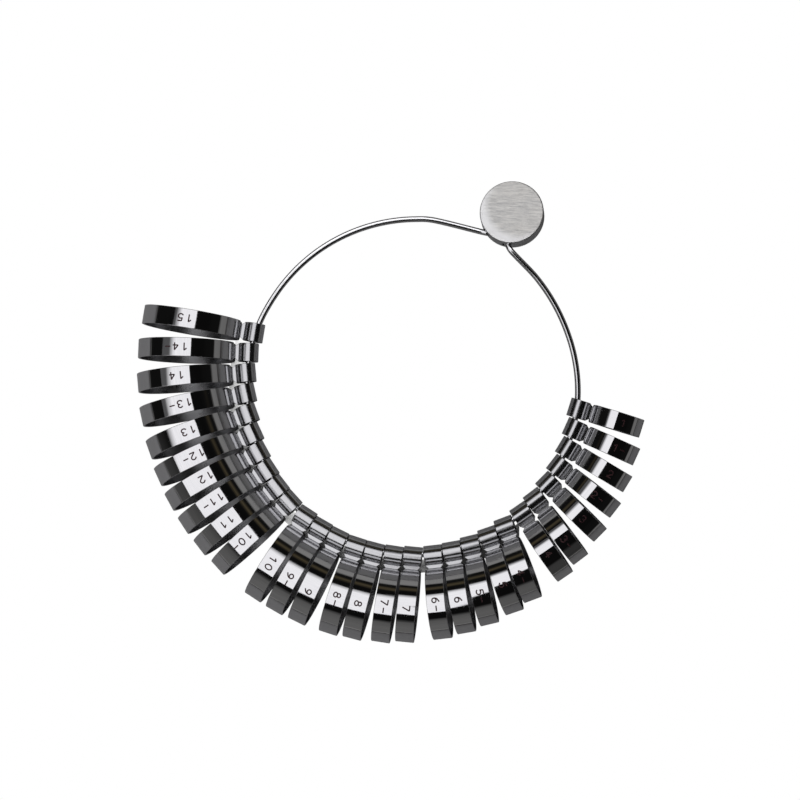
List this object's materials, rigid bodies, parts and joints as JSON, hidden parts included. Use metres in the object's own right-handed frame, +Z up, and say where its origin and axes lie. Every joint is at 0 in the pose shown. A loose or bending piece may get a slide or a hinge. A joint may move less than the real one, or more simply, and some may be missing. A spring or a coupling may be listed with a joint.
{
  "type": "finger ring sizer",
  "caption": "Finger-size gauge set: graded steel bands, each hung by an eyelet on a spring-wire hoop whose ends meet in a round disc clasp.",
  "frame": {"origin": "middle of the set's footprint, on the table it lies on", "axes": "+Z up, the finger holes lie level; -Y is the side where the middle sizes hang, +X the side of the smallest band, and the clasp lies towards +Y"},
  "size_m": [0.1294, 0.1178, 0.0252],
  "materials": {
    "band_steel": "mirror-polished stainless steel, with engraved dark digits on each band's crown",
    "wire_steel": "bright drawn spring wire",
    "clasp_steel": "satin top brushed straight across, with a polished rim",
    "screw_steel": "plain dark steel screw"
  },
  "bodies": {
    "hoop": {"hoop_wire": "wire_steel", "clasp_disc": "clasp_steel"},
    "band_15": {"band_15": "band_steel"},
    "band_14_half": {"band_14_half": "band_steel"},
    "band_14": {"band_14": "band_steel"},
    "band_13_half": {"band_13_half": "band_steel"},
    "band_13": {"band_13": "band_steel"},
    "band_12_half": {"band_12_half": "band_steel"},
    "band_12": {"band_12": "band_steel"},
    "band_11_half": {"band_11_half": "band_steel"},
    "band_11": {"band_11": "band_steel"},
    "band_10_half": {"band_10_half": "band_steel"},
    "band_10": {"band_10": "band_steel"},
    "band_09_half": {"band_09_half": "band_steel"},
    "band_09": {"band_09": "band_steel"},
    "band_08_half": {"band_08_half": "band_steel"},
    "band_08": {"band_08": "band_steel"},
    "band_07_half": {"band_07_half": "band_steel"},
    "band_07": {"band_07": "band_steel"},
    "band_06_half": {"band_06_half": "band_steel"},
    "band_06": {"band_06": "band_steel"},
    "band_05_half": {"band_05_half": "band_steel"},
    "band_05": {"band_05": "band_steel"},
    "band_04_half": {"band_04_half": "band_steel"},
    "band_04": {"band_04": "band_steel"},
    "band_03_half": {"band_03_half": "band_steel"},
    "band_03": {"band_03": "band_steel"},
    "band_02_half": {"band_02_half": "band_steel"},
    "band_02": {"band_02": "band_steel"},
    "band_01_half": {"band_01_half": "band_steel"},
    "band_01": {"band_01": "band_steel"},
    "set_screw": {"clasp_set_screw": "screw_steel"}
  },
  "joints": [
    {"name": "band_15_swing", "type": "hinge", "parent": "hoop", "child": "band_15", "pos_m": [-0.03454, 0.02014, 0.01272], "axis": [0.1617, 0.9855, -0.0523], "range_deg": [0, 45]},
    {"name": "band_14_half_swing", "type": "hinge", "parent": "hoop", "child": "band_14_half", "pos_m": [-0.0359, 0.01511, 0.01272], "axis": [0.0342, 0.9974, -0.0628], "range_deg": [0, 45]},
    {"name": "band_14_swing", "type": "hinge", "parent": "hoop", "child": "band_14", "pos_m": [-0.0366, 0.00995, 0.01268], "axis": [-0.0936, 0.9929, -0.0732], "range_deg": [0, 45]},
    {"name": "band_13_half_swing", "type": "hinge", "parent": "hoop", "child": "band_13_half", "pos_m": [-0.03667, 0.00477, 0.0126], "axis": [-0.2197, 0.972, -0.0836], "range_deg": [0, 45]},
    {"name": "band_13_swing", "type": "hinge", "parent": "hoop", "child": "band_13", "pos_m": [-0.03618, -0.00038, 0.01248], "axis": [-0.3419, 0.935, -0.094], "range_deg": [0, 45]},
    {"name": "band_12_half_swing", "type": "hinge", "parent": "hoop", "child": "band_12_half", "pos_m": [-0.03518, -0.00533, 0.01233], "axis": [-0.4189, 0.9035, -0.0905], "range_deg": [0, 45]},
    {"name": "band_12_swing", "type": "hinge", "parent": "hoop", "child": "band_12", "pos_m": [-0.03361, -0.01008, 0.01215], "axis": [-0.4871, 0.869, -0.0871], "range_deg": [0, 45]},
    {"name": "band_11_half_swing", "type": "hinge", "parent": "hoop", "child": "band_11_half", "pos_m": [-0.0315, -0.01458, 0.01194], "axis": [-0.5526, 0.8293, -0.0836], "range_deg": [0, 45]},
    {"name": "band_11_swing", "type": "hinge", "parent": "hoop", "child": "band_11", "pos_m": [-0.02888, -0.01878, 0.0117], "axis": [-0.615, 0.7845, -0.0801], "range_deg": [0, 45]},
    {"name": "band_10_half_swing", "type": "hinge", "parent": "hoop", "child": "band_10_half", "pos_m": [-0.02578, -0.02264, 0.01143], "axis": [-0.6738, 0.7349, -0.0767], "range_deg": [0, 45]},
    {"name": "band_10_swing", "type": "hinge", "parent": "hoop", "child": "band_10", "pos_m": [-0.02196, -0.02636, 0.01112], "axis": [-0.8375, 0.5408, -0.0784], "range_deg": [0, 45]},
    {"name": "band_09_half_swing", "type": "hinge", "parent": "hoop", "child": "band_09_half", "pos_m": [-0.01803, -0.02933, 0.01082], "axis": [-0.8683, 0.4898, -0.0784], "range_deg": [0, 45]},
    {"name": "band_09_swing", "type": "hinge", "parent": "hoop", "child": "band_09", "pos_m": [-0.01379, -0.03182, 0.0105], "axis": [-0.8961, 0.4369, -0.0784], "range_deg": [0, 45]},
    {"name": "band_08_half_swing", "type": "hinge", "parent": "hoop", "child": "band_08_half", "pos_m": [-0.00913, -0.03385, 0.01017], "axis": [-0.9503, 0.3023, -0.075], "range_deg": [0, 45]},
    {"name": "band_08_swing", "type": "hinge", "parent": "hoop", "child": "band_08", "pos_m": [-0.00444, -0.03525, 0.00984], "axis": [-0.9658, 0.2481, -0.075], "range_deg": [0, 45]},
    {"name": "band_07_half_swing", "type": "hinge", "parent": "hoop", "child": "band_07_half", "pos_m": [0.00048, -0.03611, 0.00951], "axis": [-0.9871, 0.1471, -0.0628], "range_deg": [0, 45]},
    {"name": "band_07_swing", "type": "hinge", "parent": "hoop", "child": "band_07", "pos_m": [0.00537, -0.03638, 0.00919], "axis": [-0.994, 0.0931, -0.0576], "range_deg": [0, 45]},
    {"name": "band_06_half_swing", "type": "hinge", "parent": "hoop", "child": "band_06_half", "pos_m": [0.01059, -0.03602, 0.00886], "axis": [-0.9876, -0.1175, -0.1045], "range_deg": [0, 45]},
    {"name": "band_06_swing", "type": "hinge", "parent": "hoop", "child": "band_06", "pos_m": [0.01541, -0.0351, 0.00856], "axis": [-0.9793, -0.1781, -0.0958], "range_deg": [0, 45]},
    {"name": "band_05_half_swing", "type": "hinge", "parent": "hoop", "child": "band_05_half", "pos_m": [0.02011, -0.03361, 0.00828], "axis": [-0.9674, -0.2379, -0.0871], "range_deg": [0, 45]},
    {"name": "band_05_swing", "type": "hinge", "parent": "hoop", "child": "band_05", "pos_m": [0.02469, -0.03154, 0.00802], "axis": [-0.9392, -0.3302, -0.094], "range_deg": [0, 45]},
    {"name": "band_04_half_swing", "type": "hinge", "parent": "hoop", "child": "band_04_half", "pos_m": [0.02891, -0.02898, 0.00779], "axis": [-0.9279, -0.3599, -0.0974], "range_deg": [0, 45]},
    {"name": "band_04_swing", "type": "hinge", "parent": "hoop", "child": "band_04", "pos_m": [0.03312, -0.02565, 0.00757], "axis": [-0.8203, -0.5692, -0.0558], "range_deg": [0, 45]},
    {"name": "band_03_half_swing", "type": "hinge", "parent": "hoop", "child": "band_03_half", "pos_m": [0.03658, -0.02213, 0.00741], "axis": [-0.7937, -0.6058, -0.0558], "range_deg": [0, 45]},
    {"name": "band_03_swing", "type": "hinge", "parent": "hoop", "child": "band_03", "pos_m": [0.03977, -0.01807, 0.00727], "axis": [-0.6999, -0.7126, -0.0488], "range_deg": [0, 45]},
    {"name": "band_02_half_swing", "type": "hinge", "parent": "hoop", "child": "band_02_half", "pos_m": [0.04249, -0.01373, 0.00717], "axis": [-0.6116, -0.7903, -0.0366], "range_deg": [0, 45]},
    {"name": "band_02_swing", "type": "hinge", "parent": "hoop", "child": "band_02", "pos_m": [0.04471, -0.00909, 0.0071], "axis": [-0.5145, -0.8571, -0.0244], "range_deg": [0, 45]},
    {"name": "band_01_half_swing", "type": "hinge", "parent": "hoop", "child": "band_01_half", "pos_m": [0.04636, -0.00418, 0.00708], "axis": [-0.4099, -0.912, -0.0122], "range_deg": [0, 45]},
    {"name": "band_01_swing", "type": "hinge", "parent": "hoop", "child": "band_01", "pos_m": [0.04735, 0.00091, 0.0071], "axis": [-0.299, -0.9542, 0], "range_deg": [0, 45]},
    {"name": "set_screw_turn", "type": "hinge", "parent": "hoop", "child": "set_screw", "pos_m": [0.02794, 0.04614, 0.00758], "axis": [-0.1, 0.1899, 0.9767], "range_deg": [-180, 180]}
  ]
}
